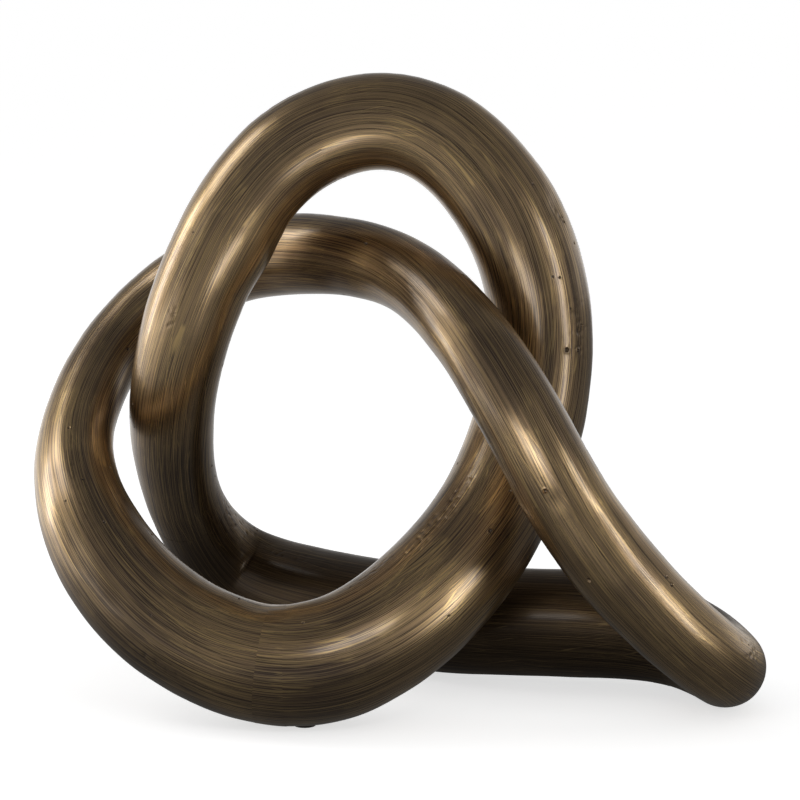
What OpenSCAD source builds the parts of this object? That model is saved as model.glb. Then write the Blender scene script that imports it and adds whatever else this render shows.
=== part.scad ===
// Free-standing knot ornament: one thick round bar that closes on itself after
// three alternate crossings. Six cast sections meet end to end on dowel pins,
// a flush weld fills the V groove round each joint, and three felt pads carry it.
// Millimetres, +Z up, +X to the right of the front view, +Y away from the viewer.

/* [Knot] */
// Width between the bar's outermost centre lines, left loop to right foot
route_w = 233; // [222:1:250]
// Depth between the bar's outermost centre lines, front to back
route_d = 126; // [124:1:150]
// Height of the bar's underside at the top of the ring, above its lowest underside
route_h = 184; // [170:1:200]

/* [Bar] */
// Thickness of the bar where it is slimmest
bar_thin = 26; // [22:0.5:28]
// Thickness of the bar where it is fullest
bar_thick = 44; // [36:0.5:46]

/* [Joints] */
// Diameter of a dowel pin
dowel_d = 10; // [6:0.5:12]
// Length of a dowel pin
dowel_len = 36; // [20:1:40]
// Chamfer on each end of a dowel pin
dowel_chamfer = 1; // [0.4:0.1:1.5]
// Gap between a dowel pin and the wall of its bore
dowel_gap = 0.05; // [0.03:0.01:0.2]
// Gap between a dowel pin's end and the bottom of its bore
dowel_end_gap = 0.5; // [0.3:0.1:2]
// Width of a weld where it meets the bar's surface
weld_w = 8; // [5:0.5:10]
// Depth of a weld's root below the bar's surface
weld_depth = 5; // [3:0.5:6]

/* [Pads] */
// Diameter of a felt pad
pad_d = 8; // [6:0.5:12]
// Thickness of a felt pad
pad_t = 1.6; // [1.4:0.1:3]
// Depth of a pad's recess in the bar's underside
pad_seat = 1.1; // [0.9:0.1:1.3]
// Gap between a pad's edge and the wall of its recess
pad_gap = 0.5; // [0.3:0.1:1]

/* [Surface] */
// Sides round the bar's section
sides = 36; // [24:4:48]
// Rings of the bar for each station of its route
rings_per_station = 4; // [3:1:5]

/* [Hidden] */

bronze = "#7a6248";
weld_bronze = "#86694a";
steel = "#b4b8bc";
felt = "#2e2a26";

// Stations of the bar's centre line: x, y, height of the underside, and how full the
// bar is there in percent, from bar_thin to bar_thick.
stations = [
    [115, -40, -1.5, 22],      // 0 right foot, outermost
    [108, -57, 7, 18],      // 1 foot turns up into the crossing arm
    [88, -66, 26, 20],      // 2
    [62, -68, 57, 23],      // 3 crossing arm, nearest the viewer
    [42, -62, 93, 16],      // 4 crosses in front of the ring
    [23, -42, 119, 9],      // 5
    [1, -9, 136, 4],        // 6
    [-30, 19, 138, 20],     // 7 crest of the strand across the back
    [-66, 44, 130, 23],     // 8 passes behind the ring
    [-100, 40, 109, 8],      // 9
    [-118, 5, 78, 3],       // 10 left loop, outermost
    [-110, -29, 44, 53],    // 11
    [-83, -49, 13, 77],     // 12
    [-42, -61, -1, 91],      // 13 front loop, on the table
    [-5, -53, 9, 100],      // 14
    [25, -33, 37, 85],      // 15
    [43, -16, 71, 78],      // 16 behind the crossing arm
    [49, -11, 112, 65],     // 17 ring's right side
    [38, -11, 153, 60],     // 18
    [8, -3, 183, 52],       // 19 ring's top
    [-28, 0, 181, 49],      // 20
    [-56, -4, 158, 45],     // 21
    [-76, -4, 116, 40],     // 22 ring's left side, in front of the back strand
    [-84, 12, 78, 30],      // 23
    [-80, 41, 39, 16],      // 24
    [-60, 58, 8, 48],       // 25 heel
    [-25, 36, -1, 72],       // 26 strand on the table
    [15, 8, -1, 72],         // 27 behind the front loop
    [60, -5, 0, 78],        // 28
    [88, -10, 0, 62],       // 29
    [107, -21, -1.5, 40]       // 30
];
count = len(stations);

// Where the joints lie along the route, in stations
joint_at = [12.95, 20.2, 24.1, 29.6, 3.4, 8.6];
// Where the pads lie along the route, in stations
pad_at = [13.2, 30.6, 26.2];

// One value of the route's curve, in the route's own units; t runs round in stations.
function station(i) = stations[((i % count) + count) % count];
function control(i) = 1.5 * station(i) - 0.25 * (station(i - 1) + station(i + 1));
function blended(i, u) =
    (pow(1 - u, 3) * control(i - 1)
    + (3 * pow(u, 3) - 6 * u * u + 4) * control(i)
    + (-3 * pow(u, 3) + 3 * u * u + 3 * u + 1) * control(i + 1)
    + pow(u, 3) * control(i + 2)) / 6;
function route(t) = blended(floor(t), t - floor(t));

// How far the stations spread along one axis
function spread(axis) =
    max([for (s = stations) s[axis]]) - min([for (s = stations) s[axis]]);
stretch = [route_w / spread(0), route_d / spread(1), route_h / spread(2)];

function bar_r(t) =
    (bar_thin + (bar_thick - bar_thin) * max(0, route(t)[3]) / 100) / 2;
function raw_axis(t) =
    let (q = route(t))
    [q[0] * stretch[0], q[1] * stretch[1], q[2] * stretch[2] + bar_r(t)];

// Direction of the centre line, and the length of bar for one station
slope_step = 0.01;
function slope(t) =
    (raw_axis(t + slope_step) - raw_axis(t - slope_step)) / (2 * slope_step);
function direction(t) = slope(t) / norm(slope(t));

// How far the bar reaches along one axis at a station, and over its whole length
function reach(t, axis, side) =
    raw_axis(t)[axis] + side * bar_r(t) * sqrt(1 - pow(direction(t)[axis], 2));
function limit(axis, side) =
    side * max([for (i = [0:4 * count - 1]) side * reach(i / 4, axis, side)]);
function middle(axis) = (limit(axis, 1) + limit(axis, -1)) / 2;

// The knot is centred over the origin. Its pads stand proud of their recesses, so
// the bar's lowest underside sets its height above the table.
shift = [-middle(0), -middle(1), pad_t - pad_seat - limit(2, -1)];
function centre(t) = raw_axis(t) + shift;

// Ring places of one section: its two joint planes, the shoulders of the grooves
// and even steps between them.
function shoulder(j) = weld_w / 2 / norm(slope(joint_at[j]));
function after(a, b) = b > a ? b : b + count;
function section_places(j) =
    let (
        next = (j + 1) % len(joint_at),
        first = joint_at[j] + shoulder(j),
        last = after(joint_at[j], joint_at[next]) - shoulder(next),
        steps = ceil((last - first) * rings_per_station)
    )
    concat([joint_at[j]], [for (i = [0:steps]) first + (last - first) * i / steps]);
section_lists = [for (j = [0:len(joint_at) - 1]) section_places(j)];
places = [for (list = section_lists) each list];
starts = [
    for (j = 0, n = 0; j <= len(joint_at);
        n = n + len(section_lists[j % len(joint_at)]), j = j + 1) n
];
ring_count = len(places);

// Normals carried along the bar without twist, then turned a little more at each
// ring so that the last one meets the first.
function level(v, d) = let (w = v - (v * d) * d) w / norm(w);
directions = [for (t = places) direction(t)];
first_normal = level([0, 0, 1], directions[0]);
carried = [
    for (i = 0, n = first_normal; i <= ring_count;
        i = i + 1, n = level(n, directions[i % ring_count])) n
];
closing = let (n = carried[ring_count], b = cross(directions[0], first_normal))
    atan2(n * b, n * first_normal);
function along(i) = (places[i] - places[0] + (places[i] < places[0] ? count : 0)) / count;
function normal(i) =
    let (turn = -closing * along(i), b = cross(directions[i], carried[i]))
    carried[i] * cos(turn) + b * sin(turn);

function ring_at(i, r) =
    let (c = centre(places[i]), n = normal(i), b = cross(directions[i], n))
    [for (k = [0:sides - 1])
        c + r * cos(360 * k / sides) * n + r * sin(360 * k / sides) * b];
function full_ring(i) = ring_at(i, bar_r(places[i]));
function root_ring(i) = ring_at(i, bar_r(places[i]) - weld_depth);

// Faces between neighbouring rings, and round a loop of rings or over its ends
function band(a, b) =
    [for (k = [0:sides - 1]) let (n = (k + 1) % sides)
        each [[a * sides + k, b * sides + n, b * sides + k],
              [a * sides + k, a * sides + n, b * sides + n]]];

// A run of rings closed by a flat face at each end
module bar_run(rings) {
    last = len(rings) - 1;
    polyhedron(
        [for (r = rings) each r],
        concat(
            [[for (k = [0:sides - 1]) k]],
            [for (i = [0:last - 1]) each band(i, i + 1)],
            [[for (k = [0:sides - 1]) last * sides + sides - 1 - k]]
        )
    );
}

// A closed collar: its rings follow one another round the collar's own section
module collar(rings) {
    n = len(rings);
    polyhedron(
        [for (r = rings) each r],
        [for (i = [0:n - 1]) each band(i, (i + 1) % n)]
    );
}

// Stands a child made along +Z on the bar's centre line at a joint
module on_joint(j) {
    d = directions[starts[j]];
    translate(centre(joint_at[j]))
        rotate([0, acos(d[2]), atan2(d[1], d[0])])
        children();
}

// Six pieces of cast bar, each from one joint plane to the next
module casting(j) {
    next = (j + 1) % len(joint_at);
    inner = [for (i = [starts[j] + 1:starts[j + 1] - 1]) full_ring(i)];
    color(bronze)
    difference() {
        bar_run(concat([root_ring(starts[j])], inner, [root_ring(starts[next])]));
        for (end = [j, next]) on_joint(end) dowel_bore();
        for (k = [0:len(pad_at) - 1]) if (pad_section(k) == j) pad_recess(k);
    }
}

module dowel_bore() {
    cylinder(
        d = dowel_d + 2 * dowel_gap, h = dowel_len + 2 * dowel_end_gap,
        center = true, $fn = 48
    );
}

module dowel(j) {
    color(steel)
    on_joint(j)
    rotate_extrude($fn = 48)
        polygon([
            [0, -dowel_len / 2], [dowel_d / 2 - dowel_chamfer, -dowel_len / 2],
            [dowel_d / 2, dowel_chamfer - dowel_len / 2],
            [dowel_d / 2, dowel_len / 2 - dowel_chamfer],
            [dowel_d / 2 - dowel_chamfer, dowel_len / 2], [0, dowel_len / 2]
        ]);
}

// The weld fills the groove between two sections, flush with the bar.
module weld(j) {
    root = starts[j];
    before = (root + ring_count - 1) % ring_count;
    color(weld_bronze)
        collar([full_ring(before), full_ring(root), full_ring(root + 1), root_ring(root)]);
}

function pad_section(k) =
    [for (j = [0:len(joint_at) - 1])
        let (t = after(joint_at[j], pad_at[k]))
        if (t < after(joint_at[j], joint_at[(j + 1) % len(joint_at)])) j][0];

// Stands a child on the table, straight under the bar's centre line
module at_pad(k) {
    translate([centre(pad_at[k])[0], centre(pad_at[k])[1], 0]) children();
}

module pad_recess(k) {
    at_pad(k)
        translate([0, 0, -pad_t])
        cylinder(d = pad_d + 2 * pad_gap, h = 2 * pad_t, $fn = 48);
}

module pad(k) {
    color(felt) at_pad(k) cylinder(d = pad_d, h = pad_t, $fn = 48);
}

module right_loop_casting() { casting(0); }
module top_left_casting() { casting(1); }
module base_casting() { casting(2); }
module foot_casting() { casting(3); }
module crossing_casting() { casting(4); }
module left_loop_casting() { casting(5); }

module weld_front() { weld(0); }
module weld_top() { weld(1); }
module weld_heel() { weld(2); }
module weld_foot() { weld(3); }
module weld_arm() { weld(4); }
module weld_back() { weld(5); }

module dowel_front() { dowel(0); }
module dowel_top() { dowel(1); }
module dowel_heel() { dowel(2); }
module dowel_foot() { dowel(3); }
module dowel_arm() { dowel(4); }
module dowel_back() { dowel(5); }

module pad_front() { pad(0); }
module pad_foot() { pad(1); }
module pad_heel() { pad(2); }

right_loop_casting();
top_left_casting();
base_casting();
foot_casting();
crossing_casting();
left_loop_casting();
weld_front();
weld_top();
weld_heel();
weld_foot();
weld_arm();
weld_back();
dowel_front();
dowel_top();
dowel_heel();
dowel_foot();
dowel_arm();
dowel_back();
pad_front();
pad_foot();
pad_heel();
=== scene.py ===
"""Knot ornament: one thick cast bar, brushed bronze over a dark patina.

The bar's route repeats the stations of the part's source. Each length of bar and each
weld is swept along it, worked over like a hand-finished casting, and stands for its
own CAD node. Metres, +Z up, +Y away from the viewer.
"""

import math
import random

import bpy
import numpy as np
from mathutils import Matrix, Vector, noise


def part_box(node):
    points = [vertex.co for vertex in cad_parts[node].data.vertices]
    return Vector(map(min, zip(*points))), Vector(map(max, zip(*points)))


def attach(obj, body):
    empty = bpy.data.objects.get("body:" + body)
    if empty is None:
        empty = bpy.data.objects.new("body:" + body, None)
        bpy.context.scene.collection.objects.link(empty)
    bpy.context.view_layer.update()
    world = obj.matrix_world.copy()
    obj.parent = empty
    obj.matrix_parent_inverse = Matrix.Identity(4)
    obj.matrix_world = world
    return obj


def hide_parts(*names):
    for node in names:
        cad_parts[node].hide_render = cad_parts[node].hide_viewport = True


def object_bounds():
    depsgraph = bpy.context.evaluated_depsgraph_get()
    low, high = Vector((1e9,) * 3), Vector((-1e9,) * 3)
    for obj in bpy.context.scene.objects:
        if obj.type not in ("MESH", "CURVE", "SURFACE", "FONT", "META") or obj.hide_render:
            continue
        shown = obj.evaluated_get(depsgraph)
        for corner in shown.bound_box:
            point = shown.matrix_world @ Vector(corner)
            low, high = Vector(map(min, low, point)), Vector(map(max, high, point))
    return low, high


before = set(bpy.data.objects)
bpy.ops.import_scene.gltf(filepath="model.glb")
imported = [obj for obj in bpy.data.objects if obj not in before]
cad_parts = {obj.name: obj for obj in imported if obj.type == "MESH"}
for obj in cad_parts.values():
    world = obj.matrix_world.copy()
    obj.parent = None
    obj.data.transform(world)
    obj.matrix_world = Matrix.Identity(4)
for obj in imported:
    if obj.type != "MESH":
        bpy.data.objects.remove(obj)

CAD_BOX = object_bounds()

bl_info = {
    "name": "Cast Knot",
    "version": (1, 0, 0),
    "blender": (4, 5, 0),
    "location": "3D View > Sidebar > Cast Knot",
    "description": "Dresses the frame of a cast metal knot and lights it",
    "category": "Object",
}

MM = 0.001
BODY = "root"

# ---------------------------------------------------------------------------
# The bar's route: x, y, height of the underside, and how full the bar is in percent
# ---------------------------------------------------------------------------
STATIONS = [
    (115, -40, -1.5, 22),
    (108, -57, 7, 18),
    (88, -66, 26, 20),
    (62, -68, 57, 23),
    (42, -62, 93, 16),
    (23, -42, 119, 9),
    (1, -9, 136, 4),
    (-30, 19, 138, 20),
    (-66, 44, 130, 23),
    (-100, 40, 109, 8),
    (-118, 5, 78, 3),
    (-110, -29, 44, 53),
    (-83, -49, 13, 77),
    (-42, -61, -1, 91),
    (-5, -53, 9, 100),
    (25, -33, 37, 85),
    (43, -16, 71, 78),
    (49, -11, 112, 65),
    (38, -11, 153, 60),
    (8, -3, 183, 52),
    (-28, 0, 181, 49),
    (-56, -4, 158, 45),
    (-76, -4, 116, 40),
    (-84, 12, 78, 30),
    (-80, 41, 39, 16),
    (-60, 58, 8, 48),
    (-25, 36, -1, 72),
    (15, 8, -1, 72),
    (60, -5, 0, 78),
    (88, -10, 0, 62),
    (107, -21, -1.5, 40),
]
COUNT = len(STATIONS)
PAD_PROUD = 0.5 * MM

# The six joints, in order round the route, and where they lie on it
JOINTS = {
    "front": 12.95,
    "top": 20.2,
    "heel": 24.1,
    "foot": 29.6,
    "arm": 34.4,
    "back": 39.6,
}
BARS = ["right_loop", "top_left", "base", "foot", "crossing", "left_loop"]
PADS = ["pad_front", "pad_foot", "pad_heel"]
# Smooth shading stops at edges sharper than this
SHARP_ANGLE = math.radians(38)

# Marks on the bar: where along the route, how far round it in degrees (0 faces the
# viewer), then sizes in millimetres
PITS = [  # radius, depth
    (3.39, -17, 0.85, 0.8),
    (15.40, -2, 0.45, 0.4),
    (3.45, -80, 0.45, 0.4),
    (15.00, -2, 0.75, 0.6),
    (2.65, -35, 0.75, 0.6),
    (2.24, 53, 0.60, 0.4),
    (2.16, 50, 0.75, 0.5),
    (16.87, 27, 0.95, 0.8),
    (16.86, 42, 0.60, 0.5),
    (17.45, 28, 0.50, 0.4),
    (17.47, 20, 0.45, 0.4),
    (17.79, 64, 0.60, 0.4),
    (18.10, 45, 0.40, 0.3),
    (17.20, 35, 0.40, 0.3),
    (17.05, 50, 0.50, 0.4),
    (6.28, 33, 0.60, 0.5),
    (21.36, 40, 0.50, 0.4),
    (9.32, -15, 0.60, 0.5),
    (10.78, -24, 0.55, 0.4),
    (10.25, 1, 0.50, 0.4),
    (10.90, 3, 0.50, 0.4),
    (11.19, -30, 0.55, 0.4),
    (13.23, -56, 0.55, 0.4),
    (0.30, 40, 0.60, 0.5),
    (0.10, 55, 0.50, 0.4),
    (23.40, -70, 0.60, 0.4),
    (14.30, 15, 0.45, 0.3),
    (12.00, -10, 0.45, 0.3),
    (26.90, 70, 0.60, 0.5),
    (27.80, 120, 0.70, 0.5),
    (19.30, 160, 0.60, 0.5),
    (8.20, 170, 0.60, 0.5),
    (5.60, 150, 0.60, 0.5),
]
DENTS = [  # radius, depth; a negative depth is a swelling
    (3.28, -12, 3.2, 0.45),
    (3.05, 10, 9.0, 0.50),
    (21.30, -85, 11.0, -1.7),
    (21.05, -75, 4.0, -0.5),
    (21.70, -60, 8.0, 0.7),
    (20.60, -20, 12.0, 0.6),
    (17.90, 58, 4.5, 0.5),
    (12.75, -80, 6.0, 0.6),
    (13.25, -85, 7.0, -0.6),
    (11.70, 0, 6.0, 0.4),
    (15.70, 30, 8.0, 0.5),
    (27.60, 40, 8.0, 0.7),
    (6.70, 10, 9.0, 0.5),
    (9.40, -60, 7.0, 0.6),
    (0.60, 60, 6.0, 0.5),
]
ROUGH = [  # length along the bar, width round it
    (14.84, -58, 22, 4.0),
    (14.20, -75, 12, 2.5),
    (24.30, -75, 16, 4.5),
    (25.60, -60, 12, 3.0),
    (0.85, 60, 8, 5.0),
    (21.95, 22, 5, 3.0),
    (12.20, 30, 14, 3.0),
    (17.90, 62, 7, 2.5),
    (17.00, 45, 14, 4.0),
    (10.60, -20, 12, 3.0),
    (27.00, 100, 16, 4.0),
    (18.80, 175, 14, 4.0),
]
MARK_REACH = 25 * MM

PORES_PER_BAR = 16
PORE_RADII = (0.3, 0.55)
PORE_DEPTH = 0.35
PORE_SPREAD = 14  # degrees from a parting line
PORE_MARGIN = 0.2  # stations left free at each end of a bar

# The cast skin's noises, in waves a metre
BROAD_WAVES = 28
MIDDLE_WAVES = 75
MIDDLE_SHIFT = Vector((7, 3, 1))
MIDDLE_SHARE = 0.35
FINE_WAVES = 420
GRAIN_WAVES = 560
GRAIN_SHIFT = Vector((2, 5, 9))
# Shares of the bar's radius or of a pit's
PARTING_WIDTH = 0.07
PIT_RIM_AT = 1.25
PIT_RIM_WIDTH = 0.3
PIT_RIM_RISE = 0.08
# Least roughness that still shapes the skin, and how dark its hollows are
ROUGH_LEAST = 0.05
ROUGH_STAIN = 0.6

# Brush strokes: slant in radians a metre, cells a metre across and along, and a shift
# along the noise. Strokes are spaced as on a bar of STROKE_RADIUS.
STROKE_RADIUS = 17 * MM
STROKES = {
    "haze": (0.5, 3200.0, 16.0, 0.0),
    "hair": (0.8, 1900.0, 10.0, 9.0),
    "fine_hair": (-0.6, 2700.0, 13.0, 41.0),
    "crossed_hair": (-4.5, 1500.0, 12.0, 31.0),
    "dark_hair": (-1.0, 2200.0, 11.0, 53.0),
    "scratch": (11.0, 1100.0, 12.0, 77.0),
    "fading": (1.0, 420.0, 26.0, 5.0),
}
# How far from its middle a stroke's noise still counts as a line
LINE_WIDTHS = {
    "hair": 0.06,
    "fine_hair": 0.08,
    "crossed_hair": 0.045,
    "dark_hair": 0.08,
    "scratch": 0.02,
}
# Blotches: cells a metre, and detail
SMEAR = (11.0, 1.0)
CLOUD = (26.0, 3.0)
PATCH = (60.0, 2.0)
GRAIN = (1300.0, 1.0)
# Where a mask turns from 0 to 1
WORN_RANGE = (0.36, 0.64)
FADING_RANGE = (0.34, 0.60)
CROSSED_RANGE = (0.46, 0.60)
SCRATCH_RANGE = (0.52, 0.60)
HAZE_RANGE = (0.35, 0.65)
PARTING_RANGE = (0.3, 1.0)
# The low strands behind the front loop, where shade falls and is painted in: metres in y and
# z
HIDDEN_Y = (-0.045, -0.015)
HIDDEN_Z = (0.03, 0.09)
# How far the painted shade pulls their colour towards the darkest patina
PAINTED_SHADE_DEPTH = 0.8
HIDDEN_COAT_LOSS = 0.7
# How strongly each kind of line, tone and dirt shows
THIN_GOLD = 0.8
UNWORN_GOLD = 0.5
GOLD_STRENGTH = 0.95
DARK_STRENGTH = 0.75
WORN_TONE = 0.75
HAZE_TONE = 0.65
TONE_DROP = 0.22
SEAM_DIRT = 0.25
PIT_DIRT = 0.8
# Roughness of worn metal, and what patina, seams and hidden strands add to it
WORN_ROUGHNESS = 0.33
PATINA_ROUGHNESS = 0.08
SEAM_ROUGHNESS = 0.12
HIDDEN_ROUGHNESS = 0.12
# Depths of the finest relief, as shares of the bump's
COMBED_DEPTH = 0.8
DARK_DEPTH = 0.25
GRIT_DEPTH = 0.9
SEAM_GRIT_DEPTH = 2.5


def station(i):
    return np.array(STATIONS[i % COUNT], float)


def control(i):
    return 1.5 * station(i) - 0.25 * (station(i - 1) + station(i + 1))


def route(t):
    """The route's x, y, underside and fullness at t, which counts stations."""
    i = math.floor(t)
    u = t - i
    return (
        (1 - u) ** 3 * control(i - 1)
        + (3 * u**3 - 6 * u**2 + 4) * control(i)
        + (-3 * u**3 + 3 * u**2 + 3 * u + 1) * control(i + 1)
        + u**3 * control(i + 2)
    ) / 6


class Route:
    """The bar's centre line, with its radius, direction, length so far and a normal
    that is carried along it without twist."""

    STEPS = 40

    def __init__(self, bar):
        self.t = np.arange(JOINTS["front"] - 1, JOINTS["front"] + COUNT + 1, 1 / self.STEPS)
        rows = np.array([route(t) for t in self.t])
        full = np.clip(rows[:, 3], 0, None) / 100
        self.r = (bar.thin + (bar.thick - bar.thin) * full) / 2
        self.c = rows[:, :3] * MM
        self.c[:, 2] += self.r
        along = np.gradient(self.c, axis=0)
        self.d = along / np.linalg.norm(along, axis=1)[:, None]
        self.centre_in_frame()
        self.s = np.concatenate(
            [[0], np.cumsum(np.linalg.norm(np.diff(self.c, axis=0), axis=1))]
        )
        self.n = self.carried_normals()
        self.close_twist()

    def centre_in_frame(self):
        reach = self.r[:, None] * np.sqrt(1 - self.d**2)
        low = (self.c - reach).min(0)
        high = (self.c + reach).max(0)
        middle = (low + high) / 2
        frame_middle = (Vector(CAD_BOX[0]) + Vector(CAD_BOX[1])) / 2
        self.c[:, 0] += frame_middle.x - middle[0]
        self.c[:, 1] += frame_middle.y - middle[1]
        self.c[:, 2] += CAD_BOX[0][2] + PAD_PROUD - low[2]

    def carried_normals(self):
        normals = []
        n = np.array([0.0, 0.0, 1.0])
        for d in self.d:
            n = n - n.dot(d) * d
            n = n / np.linalg.norm(n)
            normals.append(n)
        return np.array(normals)

    def close_twist(self):
        """Turns the normals evenly along the bar until they meet where it closes."""
        first, last = JOINTS["front"], JOINTS["front"] + COUNT
        a, b = self.at(first, self.n), self.at(last, self.n)
        d = self.at(first, self.d)
        twist = math.atan2(np.cross(a, b).dot(d), a.dot(b))
        length = self.at(last, self.s) - self.at(first, self.s)
        turn = (-twist * (self.s - self.at(first, self.s)) / length)[:, None]
        self.n = np.cos(turn) * self.n + np.sin(turn) * np.cross(self.d, self.n)

    def at(self, t, values):
        if values.ndim == 1:
            return float(np.interp(t, self.t, values))
        return np.array([np.interp(t, self.t, values[:, k]) for k in range(3)])

    def circle(self, t, radius, ahead=0.0):
        """(centre, direction, radius) of a circle round the bar's middle at t, or ahead
        of it in a straight line. Its radius is worked out from the bar's."""
        d = self.at(t, self.d)
        d = d / np.linalg.norm(d)
        centre = Vector(self.at(t, self.c) + ahead * d)
        return centre, Vector(d), radius(self.at(t, self.r))

    def stations_for(self, t, length):
        """How many stations a length of bar takes near t."""
        return length / (self.at(t + 0.5, self.s) - self.at(t - 0.5, self.s))


# ---------------------------------------------------------------------------
# Modelling steps that the pieces share
# ---------------------------------------------------------------------------
def start_clean():
    if bpy.context.mode != "OBJECT":
        bpy.ops.object.mode_set(mode="OBJECT")
    bpy.ops.object.select_all(action="DESELECT")


def swept_circles(name, circles, sides, closed=False):
    """A run of circles joined by extrusion: each is moved, turned and sized in turn."""
    start_clean()
    centre, direction, radius = circles[0]
    bpy.ops.mesh.primitive_circle_add(
        vertices=sides,
        radius=radius,
        fill_type="NOTHING" if closed else "NGON",
        location=centre,
        rotation=direction.to_track_quat("Z", "Y").to_euler(),
    )
    piece = bpy.context.object
    piece.name = name
    piece.data.name = name
    bpy.ops.object.transform_apply(location=True, rotation=True, scale=True)
    bpy.ops.object.mode_set(mode="EDIT")
    bpy.ops.mesh.select_mode(type="EDGE" if closed else "FACE")
    bpy.ops.mesh.select_all(action="SELECT")
    for centre_next, direction_next, radius_next in circles[1:] + circles[:1] * closed:
        bpy.ops.mesh.extrude_region_move(
            TRANSFORM_OT_translate={"value": centre_next - centre}
        )
        turn = direction.rotation_difference(direction_next).to_euler("XYZ")
        for axis, angle in zip("XYZ", turn):
            if abs(angle) > 1e-7:
                bpy.ops.transform.rotate(
                    value=-angle, orient_axis=axis, center_override=centre_next
                )
        growth = radius_next / radius
        if abs(growth - 1) > 1e-7:
            bpy.ops.transform.resize(value=(growth,) * 3, center_override=centre_next)
        centre, direction, radius = centre_next, direction_next, radius_next
    return piece


def store_straight(piece, circles, lengths, normals, sides):
    """Stores where each point would lie if the bar were straight along Z."""
    attribute = piece.data.attributes.new("straight", "FLOAT_VECTOR", "POINT")
    values = []
    for i, vertex in enumerate(piece.data.vertices):
        k = min(i // sides, len(circles) - 1)
        centre, direction, _ = circles[k]
        out = vertex.co - centre
        normal = Vector(normals[k])
        values += [out.dot(normal), out.dot(direction.cross(normal)), lengths[k]]
    attribute.data.foreach_set("vector", values)


def crease_circles(piece, rows, sides):
    """Keeps the edges of the chosen circles hard when the piece is smoothed."""
    bpy.ops.object.mode_set(mode="EDIT")
    bpy.ops.mesh.select_mode(type="EDGE")
    bpy.ops.object.mode_set(mode="OBJECT")
    for edge in piece.data.edges:
        a, b = (v // sides for v in edge.vertices)
        edge.select = a == b and a in rows
    bpy.ops.object.mode_set(mode="EDIT")
    bpy.ops.transform.edge_crease(value=1.0)
    bpy.ops.object.mode_set(mode="OBJECT")


def apply_modifier(piece, kind, **settings):
    modifier = piece.modifiers.new(kind.title(), kind)
    for key, value in settings.items():
        setattr(modifier, key, value)
    bpy.context.view_layer.objects.active = piece
    bpy.ops.object.modifier_apply(modifier=modifier.name)


def read_points(piece, attribute=None):
    count = len(piece.data.vertices)
    values = np.zeros(count * 3)
    if attribute:
        piece.data.attributes[attribute].data.foreach_get("vector", values)
    else:
        piece.data.vertices.foreach_get("co", values)
    return values.reshape(-1, 3)


def on_skin(path, t, around):
    """(point on the bar's skin, outward direction, direction of the bar) at a mark."""
    t = JOINTS["front"] + (t - JOINTS["front"]) % COUNT
    d = Vector(path.at(t, path.d)).normalized()
    front = Vector((0, -1, 0))
    front = (front - front.dot(d) * d).normalized()
    angle = math.radians(around)
    out = math.cos(angle) * front + math.sin(angle) * d.cross(front)
    return Vector(path.at(t, path.c)) + path.at(t, path.r) * out, out, d


def refine_near(piece, sites, cuts):
    """Gives the faces round each mark finer faces, so that the mark has a shape."""
    start_clean()
    bpy.context.view_layer.objects.active = piece
    piece.select_set(True)
    centres = np.array([f.center for f in piece.data.polygons])
    chosen = np.zeros(len(centres), bool)
    for place, reach in sites:
        chosen |= np.linalg.norm(centres - np.array(place), axis=1) < reach
    if not chosen.any():
        return
    for part in (piece.data.vertices, piece.data.edges, piece.data.polygons):
        part.foreach_set("select", [False] * len(part))
    piece.data.polygons.foreach_set("select", chosen.tolist())
    bpy.ops.object.mode_set(mode="EDIT")
    bpy.ops.mesh.select_mode(type="FACE")
    bpy.ops.mesh.subdivide(number_cuts=cuts)
    bpy.ops.object.mode_set(mode="OBJECT")


def pores(first, last, seed):
    """Pinholes that the cast left along its two parting lines."""
    draw = random.Random(seed)
    marks = []
    for _ in range(PORES_PER_BAR):
        side = draw.choice((-90, 90)) + draw.gauss(0, PORE_SPREAD)
        t = draw.uniform(first + PORE_MARGIN, last - PORE_MARGIN)
        marks.append((t, side, draw.uniform(*PORE_RADII), PORE_DEPTH))
    return marks


def rough_mask(points, rough_patches):
    """How rough each point is: 1 in a patch's middle, fading along and round the bar."""
    rough = np.zeros(len(points))
    for place, _, d, length, width in rough_patches:
        gap = points - np.array(place)
        along = gap @ np.array(d)
        across = np.linalg.norm(gap - along[:, None] * np.array(d), axis=1)
        rough = np.maximum(rough, np.exp(-((along / length) ** 2) - (across / width) ** 2))
    return rough


def cast_relief(points, skin, parting, rough, finish):
    """(height, pitted) of each point: the cast's unevenness, the two parting lines of
    the mould and the hollows of the rough patches."""
    height = np.zeros(len(points))
    pitted = np.zeros(len(points))
    for i in np.nonzero(skin)[0]:
        v = Vector(points[i])
        middle = noise.noise(v * MIDDLE_WAVES + MIDDLE_SHIFT)
        broad = noise.noise(v * BROAD_WAVES) + MIDDLE_SHARE * middle
        fine = noise.noise(v * FINE_WAVES)
        height[i] = finish.unevenness * broad
        height[i] += finish.parting_rise * parting[i] * (0.3 + 0.7 * fine)
        if rough[i] > ROUGH_LEAST:
            grain = noise.noise(v * GRAIN_WAVES + GRAIN_SHIFT) + 0.5 * fine
            sunk = min(0.0, grain + 0.15)
            height[i] += 2 * finish.rough_depth * rough[i] * sunk
            pitted[i] = min(1.0, -ROUGH_STAIN * sunk * rough[i])
    return height, pitted


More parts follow.
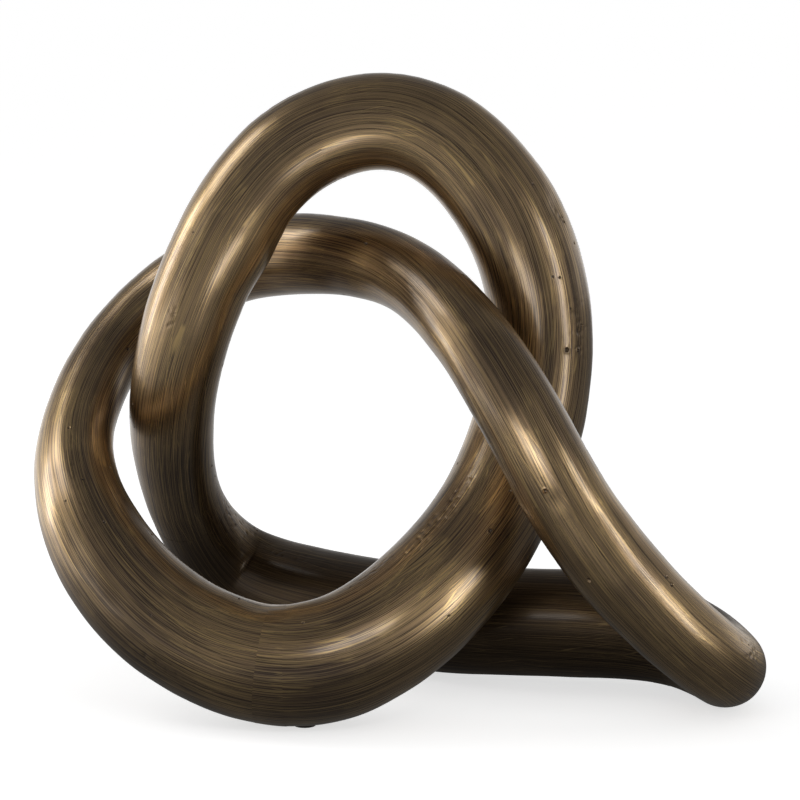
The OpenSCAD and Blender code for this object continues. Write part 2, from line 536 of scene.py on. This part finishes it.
def work_surface(piece, path, marks, dents, rough_patches, finish):
    """Moves the skin's points in and out, and stores masks of parting lines and pits."""
    fine_sites = [(place, radius * 1.5 + 0.8 * MM) for place, _, _, radius, _ in marks]
    coarse_sites = [(place, max(a, b)) for place, _, _, a, b in rough_patches]
    refine_near(piece, coarse_sites, 1)
    refine_near(piece, fine_sites, 3)
    points = read_points(piece)
    straight = read_points(piece, "straight")
    t = np.interp(straight[:, 2], path.s, path.t)
    centres = np.stack([np.interp(t, path.t, path.c[:, k]) for k in range(3)], 1)
    radii = np.interp(t, path.t, path.r)
    out = points - centres
    far = np.linalg.norm(out, axis=1)
    skin = far > radii * 0.98 - 0.2 * MM
    out /= np.maximum(far, 1e-9)[:, None]
    parting = np.exp(-((out[:, 1] / PARTING_WIDTH) ** 2))
    rough = rough_mask(points, rough_patches)
    height, pitted = cast_relief(points, skin, parting, rough, finish)
    for place, _, _, radius, depth in dents:
        gap = np.linalg.norm(points - np.array(place), axis=1) / radius
        height -= depth * np.exp(-(gap**2))
    for place, _, _, radius, depth in marks:
        gap = np.linalg.norm(points - np.array(place), axis=1) / radius
        bowl = np.sqrt(np.clip(1 - gap**2, 0, 1))
        rim = np.exp(-(((gap - PIT_RIM_AT) / PIT_RIM_WIDTH) ** 2))
        height += -depth * bowl + PIT_RIM_RISE * depth * rim
        pitted = np.maximum(pitted, np.clip(PIT_RIM_AT - gap, 0, 1))
    moved = points + out * (height * skin)[:, None]
    piece.data.vertices.foreach_set("co", moved.ravel())
    for name, values in (("parting", parting), ("pitted", pitted)):
        layer = piece.data.attributes.new(name, "FLOAT", "POINT")
        layer.data.foreach_set("value", values * skin)
    piece.data.update()


def finish_piece(piece, node, material):
    """Turns the normals outward, shades the piece and lets it stand for its node."""
    start_clean()
    bpy.context.view_layer.objects.active = piece
    piece.select_set(True)
    bpy.ops.object.mode_set(mode="EDIT")
    bpy.ops.mesh.select_all(action="SELECT")
    bpy.ops.mesh.normals_make_consistent(inside=False)
    bpy.ops.object.mode_set(mode="OBJECT")
    bpy.ops.object.shade_smooth_by_angle(angle=SHARP_ANGLE)
    piece.data.materials.clear()
    piece.data.materials.append(material)
    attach(piece, BODY)
    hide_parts(node)


# ---------------------------------------------------------------------------
# Node groups and materials
# ---------------------------------------------------------------------------
def new_group(name, inputs, outputs):
    group = bpy.data.node_groups.new(name, "ShaderNodeTree")
    for label, kind, default in inputs:
        socket = group.interface.new_socket(label, in_out="INPUT", socket_type=kind)
        if default is not None:
            socket.default_value = default
    for label, kind in outputs:
        group.interface.new_socket(label, in_out="OUTPUT", socket_type=kind)
    return group, group.nodes.new("NodeGroupInput"), group.nodes.new("NodeGroupOutput")


class Wiring:
    """Adds nodes to a tree and links them, one call a node."""

    def __init__(self, tree):
        self.tree = tree

    def node(self, kind, values=None, **settings):
        made = self.tree.nodes.new(kind)
        for key, value in settings.items():
            setattr(made, key, value)
        for socket, value in (values or {}).items():
            self.feed(made.inputs[socket], value)
        return made

    def feed(self, socket, value):
        if isinstance(value, bpy.types.NodeSocket):
            self.tree.links.new(value, socket)
        else:
            socket.default_value = value

    def math(self, operation, a, b=0.0, clamp=False):
        made = self.node("ShaderNodeMath", {0: a, 1: b}, operation=operation)
        made.use_clamp = clamp
        return made.outputs[0]

    def ramp(self, value, low, high):
        """0 below low, 1 above high and smooth between."""
        made = self.node(
            "ShaderNodeMapRange",
            {"Value": value, "From Min": low, "From Max": high},
            interpolation_type="SMOOTHSTEP",
        )
        return made.outputs[0]

    def blend(self, factor, a, b):
        made = self.node("ShaderNodeMix", data_type="RGBA")
        self.feed(made.inputs[0], factor)
        self.feed(made.inputs[6], a)
        self.feed(made.inputs[7], b)
        return made.outputs[2]

    def noise(self, vector, scale, detail):
        made = self.node(
            "ShaderNodeTexNoise", {"Vector": vector, "Scale": scale, "Detail": detail}
        )
        return made.outputs[0]

    def attribute(self, name, output):
        return self.node("ShaderNodeAttribute", attribute_name=name).outputs[output]

    def bump(self, strength, distance, height):
        values = {"Strength": strength, "Distance": distance, "Height": height}
        return self.node("ShaderNodeBump", values).outputs[0]

    def split(self, vector):
        return tuple(self.node("ShaderNodeSeparateXYZ", {0: vector}).outputs)

    def times(self, first, *others):
        for other in others:
            first = self.math("MULTIPLY", first, other)
        return first

    def plus(self, first, *others):
        for other in others:
            first = self.math("ADD", first, other)
        return first

    def most(self, a, b):
        return self.math("MAXIMUM", a, b)

    def rest(self, value):
        """What the value leaves of 1."""
        return self.math("SUBTRACT", 1.0, value)

    def line(self, strokes, width):
        """1 along the thin lines where the strokes' noise passes its middle."""
        off = self.math("ABSOLUTE", self.math("SUBTRACT", strokes, 0.5))
        return self.rest(self.ramp(off, 0.0, width))


def opaque(colour):
    return (*colour, 1)


def new_material(name):
    material = bpy.data.materials.new(name)
    material.use_nodes = True
    material.node_tree.nodes.clear()
    return material, Wiring(material.node_tree)


def principled(w, values):
    shader = w.node("ShaderNodeBsdfPrincipled", values)
    w.node("ShaderNodeOutputMaterial", {"Surface": shader.outputs[0]})


def strokes_group():
    """Brush strokes that run along the bar, at a slant to it."""
    group, given, result = new_group(
        "brush_strokes",
        [
            ("Straight", "NodeSocketVector", None),
            ("Slant", "NodeSocketFloat", 3.0),
            ("Across", "NodeSocketFloat", 1500.0),
            ("Along", "NodeSocketFloat", 60.0),
            ("Shift", "NodeSocketFloat", 0.0),
        ],
        [("Strokes", "NodeSocketFloat")],
    )
    w = Wiring(group)
    x, y, z = w.split(given.outputs["Straight"])
    flat = w.node("ShaderNodeCombineXYZ", {0: x, 1: y})
    way = w.node("ShaderNodeVectorMath", {0: flat.outputs[0]}, operation="NORMALIZE")
    turned = w.node(
        "ShaderNodeVectorRotate",
        {"Vector": way.outputs[0], "Angle": w.times(z, given.outputs["Slant"])},
        rotation_type="Z_AXIS",
    )
    side, front, _ = w.split(turned.outputs[0])
    cells = w.times(given.outputs["Across"], STROKE_RADIUS)
    length = w.times(z, given.outputs["Along"])
    place = w.node(
        "ShaderNodeCombineXYZ",
        {
            0: w.times(side, cells),
            1: w.times(front, cells),
            2: w.plus(length, given.outputs["Shift"]),
        },
    )
    strokes = w.noise(place.outputs[0], 1.0, 0.0)
    group.links.new(strokes, result.inputs["Strokes"])
    return group


def hidden_mask(w, place):
    """1 on the low strands behind the front loop, which get painted shade."""
    _, y, z = w.split(place)
    return w.times(w.ramp(y, *HIDDEN_Y), w.rest(w.ramp(z, *HIDDEN_Z)))


def worn_mask(w, smear, cloud, shade_free):
    """1 where handling and polishing wore the patina down, less so under painted shade."""
    half = 0.5
    worn = w.times(w.ramp(smear, *WORN_RANGE), half)
    worn = w.plus(worn, w.times(w.ramp(cloud, *WORN_RANGE), half))
    return w.times(worn, shade_free)


def gold_mask(w, strokes, lines, worn, cloud, patch, shade_free, pitted):
    """1 along the strokes where the brush cut through to brass, less so under painted shade.
    """
    fade = w.ramp(strokes["fading"], *FADING_RANGE)
    thin = w.times(lines["fine_hair"], w.rest(fade), THIN_GOLD)
    gold = w.most(w.times(lines["hair"], fade), thin)
    gold = w.most(gold, w.times(lines["crossed_hair"], w.ramp(patch, *CROSSED_RANGE)))
    gold = w.times(gold, w.plus(w.times(worn, 1 - UNWORN_GOLD), UNWORN_GOLD))
    stray = w.times(lines["scratch"], w.ramp(cloud, *SCRATCH_RANGE))
    gold = w.times(w.most(gold, stray), shade_free)
    return w.math("MULTIPLY", gold, w.rest(pitted), clamp=True)


def bronze_material(finish, group):
    """Dark patina, brushed back to brass in fine strokes along the bar; painted shade behind
    the front loop.
    """
    material, w = new_material("brushed_bronze")
    straight = w.attribute("straight", "Vector")
    parting = w.attribute("parting", "Fac")
    pitted = w.attribute("pitted", "Fac")
    place = w.node("ShaderNodeTexCoord").outputs["Object"]
    strokes = {}
    for name, (slant, across, along, shift) in STROKES.items():
        values = {"Straight": straight, "Slant": slant, "Across": across}
        values.update({"Along": along, "Shift": shift})
        made = w.node("ShaderNodeGroup", node_tree=group)
        for key, value in values.items():
            w.feed(made.inputs[key], value)
        strokes[name] = made.outputs["Strokes"]
    lines = {name: w.line(strokes[name], width) for name, width in LINE_WIDTHS.items()}
    smear, cloud, patch = (w.noise(place, *blotch) for blotch in (SMEAR, CLOUD, PATCH))

    hidden = hidden_mask(w, place)
    # Painted shade: the low strands behind the front loop turn towards the darkest patina
    # and keep less wear and gold
    painted_shade = w.times(hidden, PAINTED_SHADE_DEPTH)
    shade_free = w.rest(painted_shade)
    worn = worn_mask(w, smear, cloud, shade_free)
    gold = gold_mask(w, strokes, lines, worn, cloud, patch, shade_free, pitted)
    dark_lines = w.times(lines["dark_hair"], DARK_STRENGTH)

    patina = opaque(finish.patina)
    hazy = w.times(w.ramp(strokes["haze"], *HAZE_RANGE), HAZE_TONE)
    tone = w.plus(w.times(worn, WORN_TONE), hazy)
    tone = w.math("SUBTRACT", tone, TONE_DROP, clamp=True)
    body = w.blend(tone, opaque(finish.patina_warm), opaque(finish.bronze))
    # Dark hair lines, and the painted shade, pull the colour towards the darkest patina
    body = w.blend(w.most(dark_lines, painted_shade), body, patina)
    colour = w.blend(w.times(gold, GOLD_STRENGTH), body, opaque(finish.brass))
    seam_dirt = w.times(w.ramp(parting, *PARTING_RANGE), SEAM_DIRT)
    colour = w.blend(w.most(seam_dirt, w.times(pitted, PIT_DIRT)), colour, patina)

    roughness = w.plus(
        w.times(w.rest(worn), PATINA_ROUGHNESS),
        WORN_ROUGHNESS,
        w.times(parting, SEAM_ROUGHNESS),
        w.times(hidden, HIDDEN_ROUGHNESS),
    )
    combed = w.times(strokes["haze"], COMBED_DEPTH)
    relief = w.math("SUBTRACT", combed, w.times(dark_lines, DARK_DEPTH))
    grit_depth = w.plus(w.times(parting, SEAM_GRIT_DEPTH), GRIT_DEPTH)
    grit = w.times(w.noise(place, *GRAIN), grit_depth)
    principled(
        w,
        {
            "Base Color": colour,
            "Roughness": roughness,
            "Metallic": 1.0,
            "Coat Weight": w.rest(w.times(hidden, HIDDEN_COAT_LOSS)),
            "Coat IOR": 1.6,
            "Coat Roughness": 0.22,
            "Normal": w.bump(0.35, 0.04 * MM, w.plus(relief, grit)),
        },
    )
    return material


def steel_material(finish):
    """Ground steel, clouded in fine spots."""
    material, w = new_material("turned_steel")
    place = w.node("ShaderNodeTexCoord").outputs["Object"]
    spots = w.noise(place, 900.0, 2.0)
    smear = w.noise(place, 90.0, 3.0)
    principled(
        w,
        {
            "Base Color": w.blend(
                smear, opaque(finish.steel_dark), opaque(finish.steel_light)
            ),
            "Roughness": w.plus(w.times(spots, 0.2), 0.2),
            "Metallic": 1.0,
            "Normal": w.bump(0.3, 0.03 * MM, spots),
        },
    )
    return material


def felt_material(finish):
    """Pressed felt: matted fibres in a few near colours."""
    material, w = new_material("pressed_felt")
    place = w.node("ShaderNodeTexCoord").outputs["Object"]
    warp = w.node("ShaderNodeTexNoise", {"Vector": place, "Scale": 600.0, "Detail": 2.0})
    fibres = w.noise(warp.outputs[1], 12.0, 4.0)
    principled(
        w,
        {
            "Base Color": w.blend(
                w.ramp(fibres, 0.35, 0.65),
                opaque(finish.felt_dark),
                opaque(finish.felt_light),
            ),
            "Roughness": 0.95,
            "Sheen Weight": 0.4,
            "Normal": w.bump(0.8, 0.1 * MM, fibres),
        },
    )
    return material


# ---------------------------------------------------------------------------
# Settings
# ---------------------------------------------------------------------------
def length_prop(name, description, default):
    return bpy.props.FloatProperty(
        name=name,
        description=description,
        default=default,
        min=0.0,
        precision=5,
        subtype="DISTANCE",
        unit="LENGTH",
    )


def colour_prop(name, description, default):
    return bpy.props.FloatVectorProperty(
        name=name,
        description=description,
        default=default,
        subtype="COLOR",
        min=0.0,
        max=1.0,
    )


def brightness_prop(name, description, default):
    return bpy.props.FloatProperty(
        name=name, description=description, default=default, min=0.0, soft_max=20.0
    )


class KnotBar(bpy.types.PropertyGroup):
    thin: length_prop("Thinnest", "Thickness of the bar where it is slimmest", 26 * MM)
    thick: length_prop("Thickest", "Thickness of the bar where it is fullest", 44 * MM)
    weld_width: length_prop("Weld width", "Width of a weld at the bar's surface", 8 * MM)
    weld_depth: length_prop("Weld depth", "Depth of a weld's root", 5 * MM)
    bore: length_prop("Bore", "Diameter of the blind bore for a dowel pin", 10.1 * MM)
    bore_depth: length_prop("Bore depth", "Depth of a bore from the joint", 18.5 * MM)
    ring_step: length_prop("Ring step", "Spacing of the circles that shape the bar", 4 * MM)
    sides: bpy.props.IntProperty(
        name="Sides", description="Corners of each circle", default=32, min=12, max=64
    )
    smoothing: bpy.props.IntProperty(
        name="Smoothing", description="Levels of subdivision", default=2, min=1, max=3
    )


class KnotFinish(bpy.types.PropertyGroup):
    unevenness: length_prop("Unevenness", "How far the cast skin wanders", 0.45 * MM)
    parting_rise: length_prop("Parting line", "Rise of the mould's parting lines", 0.12 * MM)
    rough_depth: length_prop("Roughness", "Depth of the rough patches", 0.25 * MM)
    patina: colour_prop("Patina", "Darkest patina", (0.040, 0.025, 0.014))
    patina_warm: colour_prop("Warm patina", "Browner patina", (0.130, 0.083, 0.052))
    bronze: colour_prop("Bronze", "Bronze under the strokes", (0.60, 0.40, 0.213))
    brass: colour_prop("Brass", "Brass where the brush cut through", (1.0, 0.70, 0.30))
    steel_dark: colour_prop("Dark steel", "Darker steel of the pins", (0.36, 0.36, 0.37))
    steel_light: colour_prop("Light steel", "Paler steel of the pins", (0.62, 0.62, 0.63))
    felt_dark: colour_prop("Dark felt", "Darker fibres", (0.018, 0.016, 0.014))
    felt_light: colour_prop("Light felt", "Paler fibres", (0.075, 0.066, 0.058))


class KnotStage(bpy.types.PropertyGroup):
    floor_colour: colour_prop("Floor", "Colour of the floor", (0.80, 0.80, 0.80))
    left_light: brightness_prop("Left", "Brightness of the narrow left softbox", 4.4)
    upper_left_light: brightness_prop("Upper left", "Brightness of the upper softbox", 2.6)
    left_wall_light: brightness_prop("Left wall", "Brightness of the wide screen", 0.35)
    near_light: brightness_prop("Near", "Brightness of the small card close in front", 3.2)
    right_light: brightness_prop("Right", "Brightness of the narrow right softbox", 4.5)
    low_front_light: brightness_prop("Low front", "Brightness of the low strip", 2.0)
    camera_distance: length_prop("Camera distance", "From the camera to the knot", 1.150)
    camera_lift: bpy.props.FloatProperty(
        name="Camera lift",
        description="Angle of the camera above the horizon",
        default=math.radians(10),
        subtype="ANGLE",
        unit="ROTATION",
    )
    lens: bpy.props.FloatProperty(
        name="Lens", description="Focal length in millimetres", default=143.75
    )


# ---------------------------------------------------------------------------
# Operators
# ---------------------------------------------------------------------------
SHARED = {}


def settings():
    scene = bpy.context.scene
    return scene.knot_bar, scene.knot_finish, scene.knot_stage


def shared(key, maker):
    if key not in SHARED:
        SHARED[key] = maker()
    return SHARED[key]


def bar_path():
    return shared("path", lambda: Route(settings()[0]))


def bronze():
    return shared("bronze", lambda: bronze_material(settings()[1], strokes_group()))


def placed_marks():
    """The pits and pores, the dents and the rough patches, each with its place."""
    path = bar_path()
    holes = list(PITS)
    for index, name in enumerate(BARS):
        holes += pores(*joint_span(index), name)
    return [
        [(*on_skin(path, t, around), a * MM, b * MM) for t, around, a, b in kind]
        for kind in (holes, DENTS, ROUGH)
    ]


def near(marks, piece):
    """The marks that can touch the piece."""
    points = read_points(piece)
    low, high = points.min(0) - MARK_REACH, points.max(0) + MARK_REACH
    return [m for m in marks if all(low < np.array(m[0])) and all(np.array(m[0]) < high)]


def make_run(name, circles, places, hard, path, bar, closed=False):
    """Sweeps a run of circles, creases its hard edges, smooths it and works its skin."""
    piece = swept_circles(name, circles, bar.sides, closed)
    if closed:
        bpy.ops.mesh.select_all(action="SELECT")
        bpy.ops.mesh.remove_doubles(threshold=1e-5)
    bpy.ops.object.mode_set(mode="OBJECT")
    lengths = [path.at(t, path.s) for t in places]
    normals = [path.at(t, path.n) for t in places]
    store_straight(piece, circles, lengths, normals, bar.sides)
    crease_circles(piece, hard, bar.sides)
    apply_modifier(
        piece, "SUBSURF", levels=bar.smoothing, render_levels=bar.smoothing
    )
    marks = [near(kind, piece) for kind in shared("marks", placed_marks)]
    work_surface(piece, path, *marks, settings()[1])
    return piece


def joint_span(index):
    stops = list(JOINTS.values()) + [JOINTS["front"] + COUNT]
    return stops[index], stops[index + 1]


def swell(bar):
    """How much larger a circle is drawn, because smoothing draws its corners in."""
    return 3 / (2 + math.cos(2 * math.pi / bar.sides))


class KNOT_OT_bars(bpy.types.Operator):
    """Sweep, bore and work over the six cast lengths of bar"""

    bl_idname = "knot.bars"
    bl_label = "Cast bars"

    def execute(self, context):
        bar = settings()[0]
        path = bar_path()
        grow = swell(bar)
        for index, name in enumerate(BARS):
            first, last = joint_span(index)
            start = first + path.stations_for(first, bar.weld_width / 2)
            end = last - path.stations_for(last, bar.weld_width / 2)
            length = path.at(end, path.s) - path.at(start, path.s)
            steps = round(length / bar.ring_step)
            skin = [start + (end - start) * i / steps for i in range(steps + 1)]
            places = [first] * 3 + skin + [last] * 3
            bore = lambda r: bar.bore / 2 * grow
            root = lambda r: (r - bar.weld_depth) * grow
            full = lambda r: r * grow
            circles = (
                [
                    path.circle(first, bore, bar.bore_depth),
                    path.circle(first, bore),
                    path.circle(first, root),
                ]
                + [path.circle(t, full) for t in skin]
                + [
                    path.circle(last, root),
                    path.circle(last, bore),
                    path.circle(last, bore, -bar.bore_depth),
                ]
            )
            rows = len(circles)
            hard = {0, 1, 2, 3, rows - 4, rows - 3, rows - 2, rows - 1}
            piece = make_run(f"{name}_bar", circles, places, hard, path, bar)
            finish_piece(piece, f"{name}_casting", bronze())
        return {"FINISHED"}


class KNOT_OT_welds(bpy.types.Operator):
    """Sweep the six welds that fill the grooves at the joints"""

    bl_idname = "knot.welds"
    bl_label = "Welds"

    def execute(self, context):
        bar = settings()[0]
        path = bar_path()
        grow = swell(bar)
        full = lambda r: r * grow
        root = lambda r: (r - bar.weld_depth) * grow
        for name, t in JOINTS.items():
            half = path.stations_for(t, bar.weld_width / 2)
            skin = [t + half * k / 2 for k in (-2, -1, 0, 1, 2)]
            places = skin + [t]
            circles = [path.circle(u, full) for u in skin] + [path.circle(t, root)]
            hard = {0, 4, 5}
            piece = make_run(f"{name}_weld", circles, places, hard, path, bar, True)
            finish_piece(piece, f"weld_{name}", bronze())
        return {"FINISHED"}


class KNOT_OT_dowels(bpy.types.Operator):
    """Give the six steel dowel pins inside the joints their material"""

    bl_idname = "knot.dowels"
    bl_label = "Dowel pins"

    def execute(self, context):
        steel = shared("steel", lambda: steel_material(settings()[1]))
        for name in JOINTS:
            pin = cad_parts[f"dowel_{name}"]
            pin.data.materials.clear()
            pin.data.materials.append(steel)
        return {"FINISHED"}


# A felt pad: its corners, worn edge, the rings on its faces and its ripple
FELT_CORNERS = 64
FELT_EDGE = 0.25 * MM
FELT_RINGS = 4
FELT_RING_SHARE = 0.17
FELT_SINK = 0.02 * MM
FELT_RIPPLE = 0.04 * MM
FELT_WAVES = 1400
FELT_RIM = 0.9


class KNOT_OT_pads(bpy.types.Operator):
    """Press the three felt pads that the knot stands on"""

    bl_idname = "knot.pads"
    bl_label = "Felt pads"

    def execute(self, context):
        felt = shared("felt", lambda: felt_material(settings()[1]))
        for name in PADS:
            low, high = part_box(name)
            centre = (low + high) / 2
            radius = (high.x - low.x) / 2
            height = high.z - low.z
            start_clean()
            bpy.ops.mesh.primitive_cylinder_add(
                vertices=FELT_CORNERS, radius=radius, depth=height, location=centre
            )
            piece = bpy.context.object
            piece.name = f"felt_{name}"
            piece.data.name = piece.name
            bpy.ops.object.transform_apply(location=True, rotation=True, scale=True)
            bpy.ops.object.mode_set(mode="EDIT")
            bpy.ops.mesh.select_all(action="SELECT")
            bpy.ops.mesh.bevel(offset=FELT_EDGE, segments=3, affect="EDGES")
            bpy.ops.mesh.select_mode(type="FACE")
            bpy.ops.mesh.select_all(action="DESELECT")
            bpy.ops.object.mode_set(mode="OBJECT")
            for face in piece.data.polygons:
                face.select = abs(face.normal.z) > 0.99
            bpy.ops.object.mode_set(mode="EDIT")
            for _ in range(FELT_RINGS):
                bpy.ops.mesh.inset(thickness=radius * FELT_RING_SHARE)
            bpy.ops.object.mode_set(mode="OBJECT")
            for vertex in piece.data.vertices:
                flat = vertex.co - centre
                flat.z = 0
                ripple = FELT_RIPPLE * noise.noise(vertex.co * FELT_WAVES)
                inward = 1 if vertex.co.z > centre.z else -1
                vertex.co.z -= inward * (FELT_SINK + abs(ripple))
                if flat.length > radius * FELT_RIM:
                    vertex.co -= flat.normalized() * abs(ripple) * 2
            finish_piece(piece, name, felt)
        return {"FINISHED"}


# The softboxes: azimuth and elevation in degrees, then distance from the knot's middle,
# width and height in metres
KNOT_MIDDLE = (0.0, 0.0, 0.11)
SOFTBOXES = {
    "left": (-104, 13, 0.9, 0.20, 0.50),
    "upper_left": (-100, 42, 0.9, 0.32, 0.28),
    "left_wall": (-66, 8, 0.9, 0.35, 0.60),
    "near": (2, 0, 0.175, 0.075, 0.032),
    "right": (56, 6, 0.9, 0.14, 0.50),
    "low_front": (30, -10, 0.9, 0.12, 0.10),
}
CAMERA_TARGET = (0.00105, -0.017, 0.1095)
SENSOR_WIDTH = 36  # millimetres
WHITE = (1, 1, 1, 1)

FLOOR_RADIUS = 12.0
# Extra strength with which the camera sees the floor, so that it reads white
FLOOR_LIFT = 0.64
# The floor in the metal's reflections, a glow seen only by glossy rays: bright far off at
# the back left, dim elsewhere, with painted shade on the right and a painted shadow round
# the knot
FLOOR_FAR = 0.75
FLOOR_NEAR = 0.24
# The surroundings: soft light on the knot, and what the metal mirrors of the room and
# of the bright background low behind it
SOFT_STRENGTH = 0.45
ROOM_STRENGTH = 0.17
ROOM_TOP_DIMMING = 0.06
BACKGROUND_STRENGTH = 0.48


def softbox(name, brightness, azimuth, elevation, distance, width, height):
    """An area lamp that faces the knot, with power in proportion to its area."""
    start_clean()
    place = toward(azimuth, elevation, distance, KNOT_MIDDLE)
    bpy.ops.object.light_add(type="AREA", location=place)
    lamp = bpy.context.object
    lamp.name = f"softbox_{name}"
    lamp.data.shape = "RECTANGLE"
    lamp.data.size, lamp.data.size_y = width, height
    lamp.data.energy = brightness * math.pi * width * height
    lamp.visible_camera = False
    toward_knot = Vector(KNOT_MIDDLE) - place
    lamp.rotation_euler = toward_knot.to_track_quat("-Z", "Y").to_euler()


def toward(azimuth, elevation, distance, target):
    """A place in a direction from the target: azimuth 0 is the viewer's side, 90 is +X."""
    a, e = math.radians(azimuth), math.radians(elevation)
    return Vector(target) + distance * Vector(
        (math.sin(a) * math.cos(e), -math.cos(a) * math.cos(e), math.sin(e))
    )


class KNOT_OT_stage(bpy.types.Operator):
    """Set the floor, the surroundings, the softboxes and the camera"""

    bl_idname = "knot.stage"
    bl_label = "Stage"

    def execute(self, context):
        stage = settings()[2]
        self.floor(stage)
        self.surroundings()
        for name, layout in SOFTBOXES.items():
            softbox(name, getattr(stage, f"{name}_light"), *layout)
        self.camera(stage)
        context.scene.view_settings.view_transform = "Standard"
        return {"FINISHED"}

    def floor(self, stage):
        start_clean()
        bpy.ops.mesh.primitive_circle_add(
            vertices=96, radius=FLOOR_RADIUS, fill_type="NGON", location=(0, 0, 0)
        )
        floor = bpy.context.object
        floor.name = "floor"
        material, w = new_material("pale_floor")
        path = w.node("ShaderNodeLightPath")
        place = w.node("ShaderNodeTexCoord").outputs["Object"]
        x, y, _ = w.split(place)
        away = w.plus(w.times(x, -0.75), w.times(y, 0.65))
        far_off = w.times(w.ramp(away, 0.05, 0.6), FLOOR_FAR)
        # Painted shade: the reflected floor dims towards the right
        unshaded = w.rest(w.times(w.ramp(x, -0.05, 0.3), 0.6))
        reach = w.node("ShaderNodeVectorMath", {0: place}, operation="LENGTH")
        # Painted shadow of the knot: the reflected floor dims within 0.3 m of the knot
        clear = w.plus(w.times(w.ramp(reach.outputs[1], 0.08, 0.3), 0.7), 0.3)
        seen = w.plus(far_off, w.times(unshaded, clear, FLOOR_NEAR))
        mirrored = w.node("ShaderNodeEmission", {"Color": WHITE, "Strength": seen})
        diffuse = w.node("ShaderNodeBsdfDiffuse", {"Color": opaque(stage.floor_colour)})
        lift = w.times(path.outputs["Is Camera Ray"], FLOOR_LIFT)
        glow = w.node("ShaderNodeEmission", {"Color": WHITE, "Strength": lift})
        lit = w.node("ShaderNodeAddShader", {0: diffuse.outputs[0], 1: glow.outputs[0]})
        mixed = w.node(
            "ShaderNodeMixShader",
            {0: path.outputs["Is Glossy Ray"], 1: lit.outputs[0], 2: mirrored.outputs[0]},
        )
        w.node("ShaderNodeOutputMaterial", {"Surface": mixed.outputs[0]})
        floor.data.materials.append(material)

    def surroundings(self):
        world = bpy.data.worlds.new("studio")
        bpy.context.scene.world = world
        world.use_nodes = True
        world.node_tree.nodes.clear()
        w = Wiring(world.node_tree)
        path = w.node("ShaderNodeLightPath")
        _, y, z = w.split(w.node("ShaderNodeTexCoord").outputs["Generated"])
        background = w.times(w.ramp(y, 0.0, 0.5), w.rest(w.ramp(z, 0.1, 0.45)))
        dimming = w.times(w.ramp(z, 0.5, 0.9), ROOM_TOP_DIMMING)
        room = w.math("SUBTRACT", ROOM_STRENGTH, dimming)
        glossy = w.plus(w.times(background, BACKGROUND_STRENGTH), room)
        soft = w.node(
            "ShaderNodeMix", {0: path.outputs["Is Glossy Ray"], 2: SOFT_STRENGTH, 3: glossy}
        )
        strength = w.node(
            "ShaderNodeMix", {0: path.outputs["Is Camera Ray"], 2: soft.outputs[0], 3: 1.0}
        )
        light = w.node(
            "ShaderNodeBackground", {"Color": WHITE, "Strength": strength.outputs[0]}
        )
        w.node("ShaderNodeOutputWorld", {"Surface": light.outputs[0]})

    def camera(self, stage):
        start_clean()
        lift = math.degrees(stage.camera_lift)
        place = toward(0, lift, stage.camera_distance, CAMERA_TARGET)
        bpy.ops.object.camera_add(
            location=place, rotation=(math.pi / 2 - stage.camera_lift, 0, 0)
        )
        camera = bpy.context.object
        camera.name = "camera"
        camera.data.lens = stage.lens
        camera.data.sensor_width = SENSOR_WIDTH
        camera.data.sensor_fit = "HORIZONTAL"
        bpy.context.scene.camera = camera


class KNOT_PT_panel(bpy.types.Panel):
    """The knot's steps in the 3D view's sidebar"""

    bl_idname = "KNOT_PT_panel"
    bl_label = "Cast Knot"
    bl_space_type = "VIEW_3D"
    bl_region_type = "UI"
    bl_category = "Cast Knot"

    def draw(self, context):
        for group in settings():
            for key in group.__annotations__:
                self.layout.prop(group, key)
        for step in STEPS:
            self.layout.operator(step.bl_idname)


STEPS = [KNOT_OT_bars, KNOT_OT_welds, KNOT_OT_dowels, KNOT_OT_pads, KNOT_OT_stage]
GROUPS = {"knot_bar": KnotBar, "knot_finish": KnotFinish, "knot_stage": KnotStage}


def register():
    for kind in [*GROUPS.values(), *STEPS, KNOT_PT_panel]:
        bpy.utils.register_class(kind)
    for name, kind in GROUPS.items():
        setattr(bpy.types.Scene, name, bpy.props.PointerProperty(type=kind))


def unregister():
    for name in GROUPS:
        delattr(bpy.types.Scene, name)
    for kind in reversed([*GROUPS.values(), *STEPS, KNOT_PT_panel]):
        bpy.utils.unregister_class(kind)


def main():
    register()
    bpy.ops.knot.bars()
    bpy.ops.knot.welds()
    bpy.ops.knot.dowels()
    bpy.ops.knot.pads()
    bpy.ops.knot.stage()


if __name__ == "__main__":
    main()
